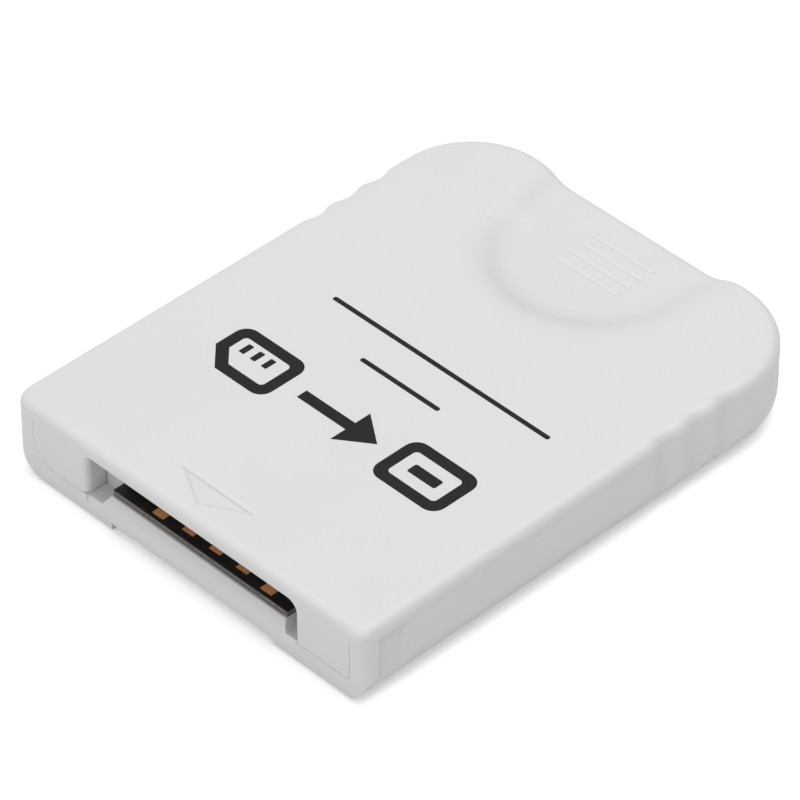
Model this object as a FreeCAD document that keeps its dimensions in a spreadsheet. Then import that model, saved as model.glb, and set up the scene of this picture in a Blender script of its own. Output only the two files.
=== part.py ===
import FreeCAD, Part
import math
import os
import Sketcher

# Memory card reader: a flat moulded housing that slides into a console's memory slot.
# Its front end shows an edge connector in a window, and its rear end takes a full-size memory card.
# The origin is on the resting face, under the middle of the box.
# X runs across, Y from the connector to the card slot, and Z up. All lengths are in millimetres.

sizes = {
    # housing outline
    "body_width": 42.0,
    "body_length": 54.1,
    "body_height": 7.8,
    "seam_height": 6.4,
    "left_corner_radius": 1.9,
    "right_corner_radius": 1.3,
    "left_ear_radius": 8.0,
    "right_ear_radius": 9.0,
    "top_edge_radius": 0.9,
    "left_belly_radius": 5.0,
    "right_belly_radius": 2.75,
    "front_foot_radius": 0.6,
    # walls
    "side_wall": 1.5,
    "lid_thickness": 1.2,
    "locating_rib_width": 0.8,
    "locating_rib_drop": 1.2,
    "locating_rib_length": 8.0,
    "locating_rib_first": 14.0,
    "locating_rib_second": 28.0,
    "floor_thickness": 1.2,
    "joint_gap": 0.03,
    "running_clearance": 0.1,
    # finger grips, three dips on each side, that end just before the ear
    "grip_gap": 1.05,
    "grip_pitch": 3.65,
    "grip_depth": 0.35,
    # thumb recess in the top, open to the rear face
    "thumb_depth": 1.05,
    "thumb_ear_gap": 0.1,
    "thumb_reach": 17.3,
    "thumb_right_flare": 0.6,
    "thumb_left_flare": 1.6,
    "thumb_slope": 4.4,
    "thumb_rib_length": 7.4,
    "thumb_rib_width": 0.5,
    "thumb_rib_rise": 0.03,
    "thumb_rib_pitch": 1.45,
    "thumb_rib_inset": 3.6,
    "thumb_rib_offset": 0.9,
    # insertion arrow sunk in the top near the front
    "arrow_width": 8.7,
    "arrow_height": 2.45,
    "arrow_inset": 1.55,
    "arrow_depth": 0.1,
    "arrow_floor_width": 7.1,
    "arrow_floor_height": 2.0,
    "arrow_nose_slope": 0.3,
    # connector window in the front face, its two ends measured from the middle of the housing
    "window_left": 11.8,
    "window_right": 13.3,
    "window_sill": 2.25,
    "window_corner_radius": 1.2,
    "jamb_depth": 2.2,
    "left_jamb_edge": 0.7,
    "right_jamb_edge": 0.2,
    "left_jamb_margin": 2.7,
    "right_jamb_margin": 1.5,
    "left_jamb_radius": 2.6,
    "right_jamb_radius": 0.5,
    "ramp_width": 22.0,
    "ramp_run": 0.75,
    "ramp_flare": 0.55,
    "ramp_foot": 1.25,
    "bed_length": 11.0,
    "pocket_wall_thickness": 1.0,
    "pocket_wall_gap": 0.1,
    # shallow step in the underside behind the connector
    "belly_step_width": 18.5,
    "belly_step_slope": 0.9,
    "belly_step_depth": 0.58,
    "belly_step_length": 9.0,
    # guide notch in each side wall near the front
    "notch_start": 1.9,
    "notch_length": 2.6,
    "notch_slope": 0.7,
    "notch_depth": 0.3,
    # card slot in the rear face
    "slot_side_clearance": 0.4,
    "slot_height": 2.5,
    "slot_lead_in": 0.3,
    "rear_skirt_width": 28.0,
    "rear_skirt_foot": 5.7,
    "rear_wall": 1.6,
    # circuit board
    "board_thickness": 0.6,
    "board_underside": 3.1,
    "board_inset": 0.95,
    "board_tongue_width": 20.8,
    "board_shoulder": 4.2,
    "board_side_gap": 0.9,
    "board_end_gap": 6.1,
    "board_bay_gap": 2.5,
    "board_bay_clearance": 0.4,
    "post_inset": 3.0,
    "post_place": 10.0,
    "post_diameter": 3.2,
    "peg_diameter": 1.5,
    "peg_height": 0.6,
    "ledge_width": 1.8,
    "ledge_height": 0.8,
    "ledge_length": 6.0,
    "ledge_inset": 1.0,
    # edge connector
    "connector_offset": 0.9,
    "contact_first": -5.45,
    "contact_pitch": 3.23,
    "contact_width": 1.3,
    "contact_length": 4.0,
    "contact_inset": 0.72,
    "long_contact_inset": 0.39,
    "contact_thickness": 0.05,
    # card socket
    "card_width": 24.0,
    "card_thickness": 2.1,
    "card_clearance": 0.25,
    "socket_width": 26.8,
    "socket_length": 28.6,
    "socket_inset": 2.0,
    "socket_base_length": 14.5,
    "socket_base_thickness": 0.7,
    "socket_floor": 2.45,
    "socket_back_wall": 1.7,
    "shield_thickness": 0.2,
    "shield_flange": 2.1,
    "shield_flange_gap": 0.3,
    "shield_tab_length": 2.4,
    "shield_tab_reach": 1.8,
    "shield_tab_first": 3.5,
    "shield_tab_second": 11.0,
    "leaf_length": 6.0,
    "leaf_width": 2.2,
    "leaf_slot": 0.4,
    "leaf_place": 12.1,
    "leaf_spacing": 14.0,
    "finger_notch_diameter": 8.0,
    # card contacts and shield tabs, places measured from the back of the socket
    "spring_pitch": 2.5,
    "spring_width": 0.7,
    "spring_thickness": 0.2,
    "spring_clearance": 0.05,
    "spring_side_clearance": 0.12,
    "spring_channel_depth": 0.35,
    "spring_tail": 1.4,
    "spring_bend": 0.9,
    "spring_flat": 6.5,
    "spring_crest": 9.9,
    "spring_end": 12.1,
    "spring_channel_end": 14.0,
    "spring_crest_rise": 0.65,
    "spring_end_rise": 0.2,
    # switch springs in the left rail, places measured from the mouth of the socket
    "switch_spring_thickness": 0.15,
    "switch_spring_length": 5.5,
    "switch_spring_width": 1.0,
    "switch_spring_bump": 0.5,
    "switch_spring_ramp": 1.2,
    "switch_slot_depth": 0.5,
    "switch_slot_clearance": 0.2,
    "detect_spring_place": 11.9,
    "protect_spring_place": 21.9,
    # small parts on the board, places measured from the bay for the socket
    "resistor_length": 1.6,
    "resistor_width": 0.8,
    "resistor_height": 0.45,
    "resistor_pitch": 3.4,
    "resistor_place": 3.2,
    "capacitor_length": 2.0,
    "capacitor_width": 1.25,
    "capacitor_height": 0.85,
    "capacitor_pitch": 9.0,
    "capacitor_place": 5.1,
    "end_cap_length": 0.35,
    "end_cap_rise": 0.03,
}

grip_count = 3
thumb_rib_count = 4
contact_count = 5
spring_count = 9
resistor_count = 5
capacitor_count = 2
window_steps = 5  # flat strips in the quarter round at each end of the window
cut_margin = 1.0  # how far a cutting shape stands out of the solid it cuts
root_overlap = 0.3  # how far a ledge reaches into the wall that carries it

doc = FreeCAD.newDocument("memory_card_reader")
sheet = doc.addObject("Spreadsheet::Sheet", "Sizes")
for row, (alias, number) in enumerate(sizes.items(), start=1):
    sheet.set(f"A{row}", alias)
    sheet.set(f"B{row}", str(number))
    sheet.setAlias(f"B{row}", alias)
doc.recompute()


class Length:
    """A length as a number together with the sheet formula that gives it."""

    def __init__(self, number, formula):
        self.number = number
        self.formula = formula

    def __add__(self, other):
        return combine(self, "+", other)

    def __radd__(self, other):
        return combine(other, "+", self)

    def __sub__(self, other):
        return combine(self, "-", other)

    def __rsub__(self, other):
        return combine(other, "-", self)

    def __mul__(self, other):
        return combine(self, "*", other)

    def __rmul__(self, other):
        return combine(other, "*", self)

    def __truediv__(self, other):
        return combine(self, "/", other)

    def __neg__(self):
        return combine(0.0, "-", self)


def as_length(value):
    """Gives a plain number the form of a Length."""
    if isinstance(value, Length):
        return value
    return Length(float(value), f"({float(value)})")


def combine(left, sign, right):
    """Applies one arithmetic sign to both the numbers and the formulas of two lengths."""
    a = as_length(left)
    b = as_length(right)
    results = {
        "+": lambda: a.number + b.number,
        "-": lambda: a.number - b.number,
        "*": lambda: a.number * b.number,
        "/": lambda: a.number / b.number,
    }
    return Length(results[sign](), f"({a.formula} {sign} {b.formula})")


def size(alias):
    """A driving size from the sheet."""
    return Length(float(sheet.get(alias)), f"Sizes.{alias}")


def new_body(label):
    body = doc.addObject("PartDesign::Body", label)
    body.Label = label
    return body


def new_sketch(body, plane, height=0.0):
    """A sketch on one of the body's origin planes, raised along the plane's normal."""
    sketch = body.newObject("Sketcher::SketchObject", "Sketch")
    base = next(feature for feature in body.Origin.OriginFeatures if feature.Role == plane)
    sketch.AttachmentSupport = [(base, "")]
    sketch.MapMode = "FlatFace"
    sketch.setExpression("AttachmentOffset.Base.z", as_length(height).formula)
    return sketch


def bind(sketch, kind, geometry, point, value):
    """Adds one dimension that follows its sheet formula."""
    value = as_length(value)
    if kind == "Radius":
        constraint = Sketcher.Constraint(kind, geometry, value.number)
    else:
        constraint = Sketcher.Constraint(kind, -1, 1, geometry, point, value.number)
    index = sketch.addConstraint(constraint)
    sketch.setExpression(f"Constraints[{index}]", value.formula)


def arc_between(start, end, radius, anticlockwise):
    """The short arc of the given radius from start to end."""
    chord = end - start
    middle = (start + end) * 0.5
    reach = max(radius * radius - chord.Length * chord.Length / 4, 0.0) ** 0.5
    side = FreeCAD.Vector(-chord.y, chord.x, 0).normalize()
    centre = middle + side * (reach if anticlockwise else -reach)
    bulge = centre + (middle - centre).normalize() * radius
    if reach < 1e-6:
        bulge = middle - side * (radius if anticlockwise else -radius)
    if anticlockwise:
        return Part.Arc(start, bulge, end)
    return Part.Arc(end, bulge, start)


def draw_outline(sketch, corners):
    """A closed outline. A corner is (x, y), or (x, y, radius) where an arc of that radius runs to the next
    corner: a positive radius turns left, a negative one turns right."""
    points = [FreeCAD.Vector(as_length(c[0]).number, as_length(c[1]).number, 0) for c in corners]
    ends = []
    for index, corner in enumerate(corners):
        start = points[index]
        end = points[(index + 1) % len(points)]
        if len(corner) == 2:
            geometry = sketch.addGeometry(Part.LineSegment(start, end))
            ends.append((geometry, 1, 2))
        else:
            radius = as_length(corner[2])
            left_turn = radius.number > 0
            arc = arc_between(start, end, abs(radius.number), left_turn)
            geometry = sketch.addGeometry(arc)
            ends.append((geometry, 1, 2) if left_turn else (geometry, 2, 1))
    for index, (geometry, start_point, end_point) in enumerate(ends):
        following, following_start, _ = ends[(index + 1) % len(ends)]
        joint = Sketcher.Constraint("Coincident", geometry, end_point, following, following_start)
        sketch.addConstraint(joint)
        bind(sketch, "DistanceX", geometry, start_point, corners[index][0])
        bind(sketch, "DistanceY", geometry, start_point, corners[index][1])
        if len(corners[index]) == 3:
            radius = as_length(corners[index][2])
            bind(sketch, "Radius", geometry, 0, radius if radius.number > 0 else -radius)


def draw_box(sketch, low_x, low_y, high_x, high_y):
    draw_outline(sketch, [(low_x, low_y), (high_x, low_y), (high_x, high_y), (low_x, high_y)])


def draw_circle(sketch, x, y, diameter):
    centre = FreeCAD.Vector(as_length(x).number, as_length(y).number, 0)
    circle = sketch.addGeometry(Part.Circle(centre, FreeCAD.Vector(0, 0, 1), as_length(diameter).number / 2))
    bind(sketch, "DistanceX", circle, 3, x)
    bind(sketch, "DistanceY", circle, 3, y)
    bind(sketch, "Radius", circle, 0, as_length(diameter) / 2)


def extrude(body, kind, sketch, length, reverse=False):
    """Pads or pockets a sketch and checks that the solid grew or shrank as it should."""
    before = body.Tip.Shape.Volume if body.Tip else 0.0
    feature = body.newObject(f"PartDesign::{kind}", kind)
    feature.Profile = sketch
    feature.Reversed = reverse
    feature.setExpression("Length", as_length(length).formula)
    doc.recompute()
    change = feature.Shape.Volume - before
    if (kind == "Pad" and change <= 0) or (kind == "Pocket" and change >= 0):
        raise ValueError(f"{body.Label}: {feature.Name} changes nothing")
    return feature


def pad(body, sketch, length, reverse=False):
    return extrude(body, "Pad", sketch, length, reverse)


def pocket(body, sketch, length, reverse=False):
    return extrude(body, "Pocket", sketch, length, reverse)


def cut_loft(body, label, sections):
    """Cuts away the form whose straight sides join the sketches, and checks that the solid shrank."""
    before = body.Tip.Shape.Volume
    form = body.newObject("PartDesign::SubtractiveLoft", label)
    form.Profile = sections[0]
    form.Sections = sections[1:]
    form.Ruled = True
    doc.recompute()
    if form.Shape.Volume >= before:
        raise ValueError(f"{body.Label}: {form.Name} changes nothing")


def pattern(body, feature, axis, pitch, count):
    """Repeats a feature along one of the body's axes."""
    line = next(item for item in body.Origin.OriginFeatures if item.Role == axis)
    row = body.newObject("PartDesign::LinearPattern", "Row")
    row.Originals = [feature]
    row.Direction = (line, [""])
    row.Mode = "Spacing"
    row.setExpression("Offset", as_length(pitch).formula)
    row.Occurrences = count
    body.Tip = row
    doc.recompute()
    return row


def edges_where(shape, test):
    """Names of the edges whose middle point passes the test."""
    names = []
    for number, edge in enumerate(shape.Edges, start=1):
        middle = edge.valueAt((edge.FirstParameter + edge.LastParameter) / 2)
        if test(edge, middle):
            names.append(f"Edge{number}")
    return names


def fillet(body, test, radius):
    """Rounds the chosen edges of the body's last feature."""
    base = body.Tip
    names = edges_where(base.Shape, test)
    if not names:
        raise ValueError(f"{body.Label}: no edge to round")
    rounded = body.newObject("PartDesign::Fillet", "Fillet")
    rounded.Base = (base, names)
    rounded.setExpression("Radius", as_length(radius).formula)
    doc.recompute()
    return rounded


def near(value, target, slack=1e-4):
    return abs(value - as_length(target).number) < slack


# Shared places
half_width = size("body_width") / 2
half_length = size("body_length") / 2
front = -half_length
rear = half_length
top = size("body_height")
seam = size("seam_height")
inner_half_width = half_width - size("side_wall")
lid_underside = top - size("lid_thickness")
window_left = -size("window_left")
window_right = size("window_right")
sill = size("window_sill")
jamb_depth = size("jamb_depth")
joint_gap = size("joint_gap")
connector_middle = size("connector_offset")
board_underside = size("board_underside")
board_top = board_underside + size("board_thickness")
left_ear = size("left_ear_radius")
right_ear = size("right_ear_radius")
grip_start = rear - right_ear - size("grip_gap") - size("grip_pitch") * grip_count
thumb_floor = top - size("thumb_depth")
thumb_radius = half_width - right_ear - size("thumb_ear_gap") - size("thumb_right_flare")
thumb_middle = rear - size("thumb_reach") + thumb_radius
mouth_left = -thumb_radius - size("thumb_left_flare")
mouth_right = thumb_radius + size("thumb_right_flare")
socket_mouth = rear - size("socket_inset")
socket_back = socket_mouth - size("socket_length")
socket_floor = size("socket_floor")
socket_roof = socket_floor + size("card_thickness") + size("card_clearance")
socket_half = size("socket_width") / 2
rail_half = size("card_width") / 2 + size("card_clearance")
channel_floor = socket_floor - size("spring_channel_depth")
switch_middle = (socket_floor + socket_roof) / 2
bay_start = socket_back - size("board_bay_gap")
board_end = socket_mouth - size("board_end_gap")
post_x = inner_half_width - size("post_inset")
post_places = [(post_x * side, front + size("post_place")) for side in (-1, 1)]


def grip_wave():
    """The three dips in the right-hand side seen from above, from front to rear."""
    pitch = size("grip_pitch")
    depth = size("grip_depth")
    wave = (pitch * pitch / 16 + depth * depth / 4) / depth
    points = []
    for index in range(grip_count):
        low = grip_start + pitch * index
        points.append((half_width, low, wave))
        points.append((half_width - depth / 2, low + pitch / 4, -wave))
        points.append((half_width - depth / 2, low + pitch * 0.75, wave))
    points.append((half_width, grip_start + pitch * grip_count))
    return points


def mirrored(points):
    """A run of outline corners taken to the left-hand side, where it runs from rear to front."""
    turns = [point[2] for point in reversed(points[:-1])]
    flipped = [(-point[0], point[1]) for point in reversed(points)]
    return [(*point, turn) for point, turn in zip(flipped, turns)] + [flipped[-1]]


def plan_outline():
    """The housing seen from above, anticlockwise from the front left corner: small front corners, three grip
    dips in each side and large ear corners at the rear."""
    left_corner = size("left_corner_radius")
    right_corner = size("right_corner_radius")
    return (
        [
            (-half_width + left_corner, front),
            (half_width - right_corner, front, right_corner),
            (half_width, front + right_corner),
        ]
        + grip_wave()
        + [
            (half_width, rear - right_ear, right_ear),
            (half_width - right_ear, rear),
            (-half_width + left_ear, rear, left_ear),
            (-half_width, rear - left_ear),
        ]
        + mirrored(grip_wave())
        + [(-half_width, front + left_corner, left_corner)]
    )


def tray_outline(wall, start, back):
    """The tray seen from above, one wall inside the housing, with square front corners and two ears."""
    half = half_width - wall
    left = left_ear - wall
    right = right_ear - wall
    return [
        (-half, start),
        (half, start),
        (half, back - right, right),
        (half - right, back),
        (-half + left, back, left),
        (-half, back - left),
    ]


def thumb_profile(left, right, slope, depth):
    """The thumb recess cut across: a flat floor whose sides rise in a soft double curve to the top face."""
    bend = (slope * slope + depth * depth) / (depth * 4)
    return [
        (left, top, -bend),
        (left + slope / 2, top - depth / 2, bend),
        (left + slope, top - depth),
        (right - slope, top - depth, bend),
        (right - slope / 2, top - depth / 2, -bend),
        (right, top),
        (right, top + cut_margin),
        (left, top + cut_margin),
    ]


def add_post(body, x, y, low, high, diameter):
    """A round post between two heights."""
    sketch = new_sketch(body, "XY_Plane", low)
    draw_circle(sketch, x, y, diameter)
    return pad(body, sketch, high - low)


def build_upper_shell():
    """Lid with the thumb recess, the two front jambs that frame the connector window, and the posts that
    hold the board down."""
    body = new_body("upper_shell")
    skirt_foot = size("rear_skirt_foot")
    sketch = new_sketch(body, "XY_Plane", skirt_foot)
    draw_outline(sketch, plan_outline())
    pad(body, sketch, top - skirt_foot)

    # below the seam only the rear skirt is left, the part of the rear wall above the card slot
    skirt_half = size("rear_skirt_width") / 2
    skirt_front = rear - size("rear_wall")
    reach = half_width + cut_margin
    sketch = new_sketch(body, "XY_Plane", seam)
    draw_outline(
        sketch,
        [
            (-reach, front - cut_margin),
            (reach, front - cut_margin),
            (reach, rear + cut_margin),
            (skirt_half, rear + cut_margin),
            (skirt_half, skirt_front),
            (-skirt_half, skirt_front),
            (-skirt_half, rear + cut_margin),
            (-reach, rear + cut_margin),
        ],
    )
    pocket(body, sketch, seam - skirt_foot + cut_margin)
    cut_thumb_recess(body)
    thumb_nose = thumb_middle - thumb_radius

    def on_recess_edge(edge, middle):
        inside = middle.y < rear.number - 1e-3 and mouth_left.number < middle.x < mouth_right.number
        return inside and middle.y > thumb_nose.number - 1e-3

    def on_top_rim(edge, middle):
        on_rear = near(middle.y, rear) and middle.z > seam.number + 1e-3
        on_rim = near(middle.z, top) and not on_recess_edge(edge, middle)
        ends = [vertex.Point for vertex in edge.Vertexes]
        upright = abs(ends[0].x - ends[-1].x) < 1e-4 and abs(ends[0].y - ends[-1].y) < 1e-4
        return (on_rear or on_rim) and not upright

    fillet(body, on_top_rim, size("top_edge_radius"))
    add_lid_inside(body)
    add_jambs(body)
    cut_window(body)
    add_thumb_ribs(body)
    cut_arrow(body)
    return body


def cut_thumb_recess(body):
    """The thumb recess: a round nose turned about its middle, and a trough that widens to the rear face."""
    slope = size("thumb_slope")
    depth = size("thumb_depth")
    nose = thumb_profile(-thumb_radius, thumb_radius, slope, depth)
    sketch = new_sketch(body, "XZ_Plane", -thumb_middle)
    draw_outline(sketch, [(0.0, top - depth)] + nose[3:7] + [(0.0, top + cut_margin)])
    before = body.Tip.Shape.Volume
    turned = body.newObject("PartDesign::Groove", "ThumbNose")
    turned.Profile = sketch
    turned.ReferenceAxis = (sketch, ["V_Axis"])
    turned.Angle = 360
    doc.recompute()
    if turned.Shape.Volume >= before:
        raise ValueError("upper_shell: the nose of the thumb recess cuts nothing")
    throat = new_sketch(body, "XZ_Plane", -thumb_middle)
    draw_outline(throat, nose)
    mouth = new_sketch(body, "XZ_Plane", -rear)
    draw_outline(mouth, thumb_profile(mouth_left, mouth_right, slope, depth))
    cut_loft(body, "ThumbTrough", [throat, mouth])


def add_lid_inside(body):
    """Hollows the lid, leaves it thick under the thumb recess, and adds its posts and locating ribs."""
    back = rear - size("rear_wall")
    sketch = new_sketch(body, "XY_Plane", seam)
    draw_outline(sketch, tray_outline(size("side_wall"), front + jamb_depth, back))
    pocket(body, sketch, lid_underside - seam, reverse=True)

    island_foot = thumb_floor - size("lid_thickness")
    sketch = new_sketch(body, "XY_Plane", island_foot)
    draw_outline(
        sketch,
        [
            (-mouth_right, thumb_middle, mouth_right),
            (0.0, thumb_middle - mouth_right, mouth_right),
            (mouth_right, thumb_middle),
            (mouth_right, back),
            (mouth_left, back),
        ],
    )
    pad(body, sketch, lid_underside - island_foot)

    for x, y in post_places:
        add_post(body, x, y, board_top, lid_underside, size("post_diameter"))
        sketch = new_sketch(body, "XY_Plane", board_top)
        draw_circle(sketch, x, y, size("peg_diameter") + size("running_clearance") * 2)
        pocket(body, sketch, size("peg_height") + size("running_clearance"), reverse=True)

    outer = inner_half_width - size("running_clearance")
    inner = outer - size("locating_rib_width")
    for side in (-1, 1):
        for place in ("locating_rib_first", "locating_rib_second"):
            low_y = front + size(place)
            sketch = new_sketch(body, "XY_Plane", seam - size("locating_rib_drop"))
            low_x = inner if side > 0 else -outer
            high_x = outer if side > 0 else -inner
            draw_box(sketch, low_x, low_y, high_x, low_y + size("locating_rib_length"))
            pad(body, sketch, lid_underside - seam + size("locating_rib_drop"))


def add_jambs(body):
    """The two panels that close the front beside the window. They reach past its ends until it is cut."""
    foot = sill + joint_gap
    overlap = size("window_corner_radius")
    left_turn = size("left_jamb_radius")
    right_turn = size("right_jamb_radius")
    left = -half_width + size("left_jamb_margin")
    right = half_width - size("right_jamb_margin")
    sketch = new_sketch(body, "XZ_Plane", -front)
    draw_outline(
        sketch,
        [
            (left, foot + left_turn, left_turn),
            (left + left_turn, foot),
            (window_left + overlap, foot),
            (window_left + overlap, lid_underside),
            (left, lid_underside),
        ],
    )
    pad(body, sketch, jamb_depth, reverse=True)
    sketch = new_sketch(body, "XZ_Plane", -front)
    draw_outline(
        sketch,
        [
            (window_right - overlap, foot),
            (right - right_turn, foot, right_turn),
            (right, foot + right_turn),
            (right, lid_underside),
            (window_right - overlap, lid_underside),
        ],
    )
    pad(body, sketch, jamb_depth, reverse=True)


def cut_window(body):
    """The connector window with round upper corners. Its ends open out to the front in a quarter round."""
    reach = size("window_corner_radius")
    left_edge = size("left_jamb_edge")
    right_edge = size("right_jamb_edge")
    low = sill - cut_margin
    turns = [math.pi / 2 * step / window_steps for step in range(window_steps + 1)]
    places = [(front - cut_margin, 1.0)]
    places += [(front + left_edge * (1 - math.cos(turn)), 1 - math.sin(turn)) for turn in turns]
    places.append((front + jamb_depth + joint_gap, 0.0))
    sections = []
    for y, spread in places:
        left = window_left - left_edge * spread
        right = window_right + right_edge * spread
        sketch = new_sketch(body, "XZ_Plane", -y)
        draw_outline(
            sketch,
            [
                (left, low),
                (right, low),
                (right, lid_underside - reach, reach),
                (right - reach, lid_underside),
                (left + reach, lid_underside, reach),
                (left, lid_underside - reach),
            ],
        )
        sections.append(sketch)
    cut_loft(body, "Window", sections)


def add_thumb_ribs(body):
    """Fine raised bars on the floor of the thumb recess, level with the rear face."""
    length = size("thumb_rib_length")
    width = size("thumb_rib_width")
    middle = size("thumb_rib_offset")
    place = rear - size("thumb_rib_inset") - size("thumb_rib_pitch") * (thumb_rib_count - 1)
    sketch = new_sketch(body, "XY_Plane", thumb_floor)
    end = width / 2
    draw_outline(
        sketch,
        [
            (middle - length / 2 + end, place - end),
            (middle + length / 2 - end, place - end, end),
            (middle + length / 2, place, end),
            (middle + length / 2 - end, place + end),
            (middle - length / 2 + end, place + end, end),
            (middle - length / 2, place, end),
        ],
    )
    rib = pad(body, sketch, size("thumb_rib_rise"))
    pattern(body, rib, "Y_Axis", size("thumb_rib_pitch"), thumb_rib_count)


def cut_arrow(body):
    """The sunk triangle that points to the connector end, with sloped sides."""
    half = size("arrow_width") / 2
    floor_half = size("arrow_floor_width") / 2
    tip = front + size("arrow_inset")
    base = tip + size("arrow_height")
    floor_tip = tip + size("arrow_nose_slope")
    floor_base = floor_tip + size("arrow_floor_height")
    upper = new_sketch(body, "XY_Plane", top)
    draw_outline(upper, [(0.0, tip), (half, base), (-half, base)])
    lower = new_sketch(body, "XY_Plane", top - size("arrow_depth"))
    draw_outline(lower, [(0.0, floor_tip), (floor_half, floor_base), (-floor_half, floor_base)])
    cut_loft(body, "Arrow", [upper, lower])


def belly_block(body, wall, start, back, floor):
    """A tray form, one wall inside the housing, with its lower edge rounded except at the front."""
    sketch = new_sketch(body, "XY_Plane", floor)
    draw_outline(sketch, tray_outline(wall, start, back))
    pad(body, sketch, seam - floor)

    def on_lower_edge(edge, middle):
        return near(middle.z, floor) and not near(middle.y, start)

    fillet(body, on_lower_edge, size("right_belly_radius") - wall)

    # the left side is rounded further
    half = half_width - wall
    turn = size("left_belly_radius") - wall
    sketch = new_sketch(body, "XZ_Plane", -start + cut_margin)
    draw_outline(
        sketch,
        [
            (-half, floor + turn, turn),
            (-half + turn, floor),
            (-half + turn, floor - cut_margin),
            (-half - cut_margin, floor - cut_margin),
            (-half - cut_margin, floor + turn),
        ],
    )
    pocket(body, sketch, size("body_length") + cut_margin * 2)


def round_front_corners(body):
    """The two upright front corners."""
    for side, alias in ((-1, "left_corner_radius"), (1, "right_corner_radius")):
        radius = size(alias)
        out = (half_width + cut_margin) * side
        sketch = new_sketch(body, "XY_Plane", seam)
        draw_outline(
            sketch,
            [
                ((half_width - radius) * side, front, radius * side),
                (half_width * side, front + radius),
                (out, front + radius),
                (out, front - cut_margin),
                ((half_width - radius) * side, front - cut_margin),
            ],
        )
        pocket(body, sketch, seam + cut_margin)


def round_front_foot(body, low_x, high_x, floor):
    """The lower front edge between two places, rounded from outside."""
    radius = size("front_foot_radius")
    sketch = new_sketch(body, "YZ_Plane", low_x)
    draw_outline(
        sketch,
        [
            (front, floor + radius, radius),
            (front + radius, floor),
            (front + radius, floor - cut_margin),
            (front - cut_margin, floor - cut_margin),
            (front - cut_margin, floor + radius),
        ],
    )
    pocket(body, sketch, high_x - low_x, reverse=True)


def cut_grip_flutes(body):
    """The grip dips, cut upright through the sides."""
    out = half_width + cut_margin
    end = grip_start + size("grip_pitch") * grip_count
    for outline in (
        grip_wave() + [(out, end), (out, grip_start)],
        mirrored(grip_wave()) + [(-out, grip_start), (-out, end)],
    ):
        sketch = new_sketch(body, "XY_Plane", seam)
        draw_outline(sketch, outline)
        pocket(body, sketch, seam + cut_margin)


def build_lower_shell():
    """Tray with a rounded belly, open at the front for the connector and at the rear for the card."""
    body = new_body("lower_shell")
    belly_block(body, 0.0, front, rear, 0.0)
    round_front_corners(body)
    reach = half_width + cut_margin
    round_front_foot(body, -reach, reach, 0.0)
    cut_grip_flutes(body)
    hollow_tray(body)
    open_front(body)
    add_connector_ramp(body)
    cut_belly_step(body)
    cut_guide_notches(body)
    open_rear(body)
    add_board_supports(body)
    return body


def hollow_tray(body):
    """The inside of the tray, with its floor edges rounded to follow the belly."""
    hollow = doc.addObject("PartDesign::Body", "tray_hollow")
    hollow.Label = "tray_hollow"
    start = front + jamb_depth + joint_gap
    belly_block(hollow, size("side_wall"), start, rear - size("rear_wall"), size("floor_thickness"))
    before = body.Tip.Shape.Volume
    cut = body.newObject("PartDesign::Boolean", "Hollow")
    cut.Type = "Cut"
    cut.setObjects([hollow])
    doc.recompute()
    if cut.Shape.Volume >= before:
        raise ValueError("lower_shell: the hollow cuts nothing")


def open_front(body):
    """The front opening that the lid's two jambs fill, a joint gap larger than they are."""
    turn = size("left_jamb_radius") + joint_gap
    right_turn = size("right_jamb_radius") + joint_gap
    left = -half_width + size("left_jamb_margin") - joint_gap
    right = half_width - size("right_jamb_margin") + joint_gap
    sketch = new_sketch(body, "XZ_Plane", -front + cut_margin)
    draw_outline(
        sketch,
        [
            (left, sill + turn, turn),
            (left + turn, sill),
            (right - right_turn, sill, right_turn),
            (right, sill + right_turn),
            (right, seam + cut_margin),
            (left, seam + cut_margin),
        ],
    )
    pocket(body, sketch, jamb_depth + joint_gap * 2 + cut_margin)


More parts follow.
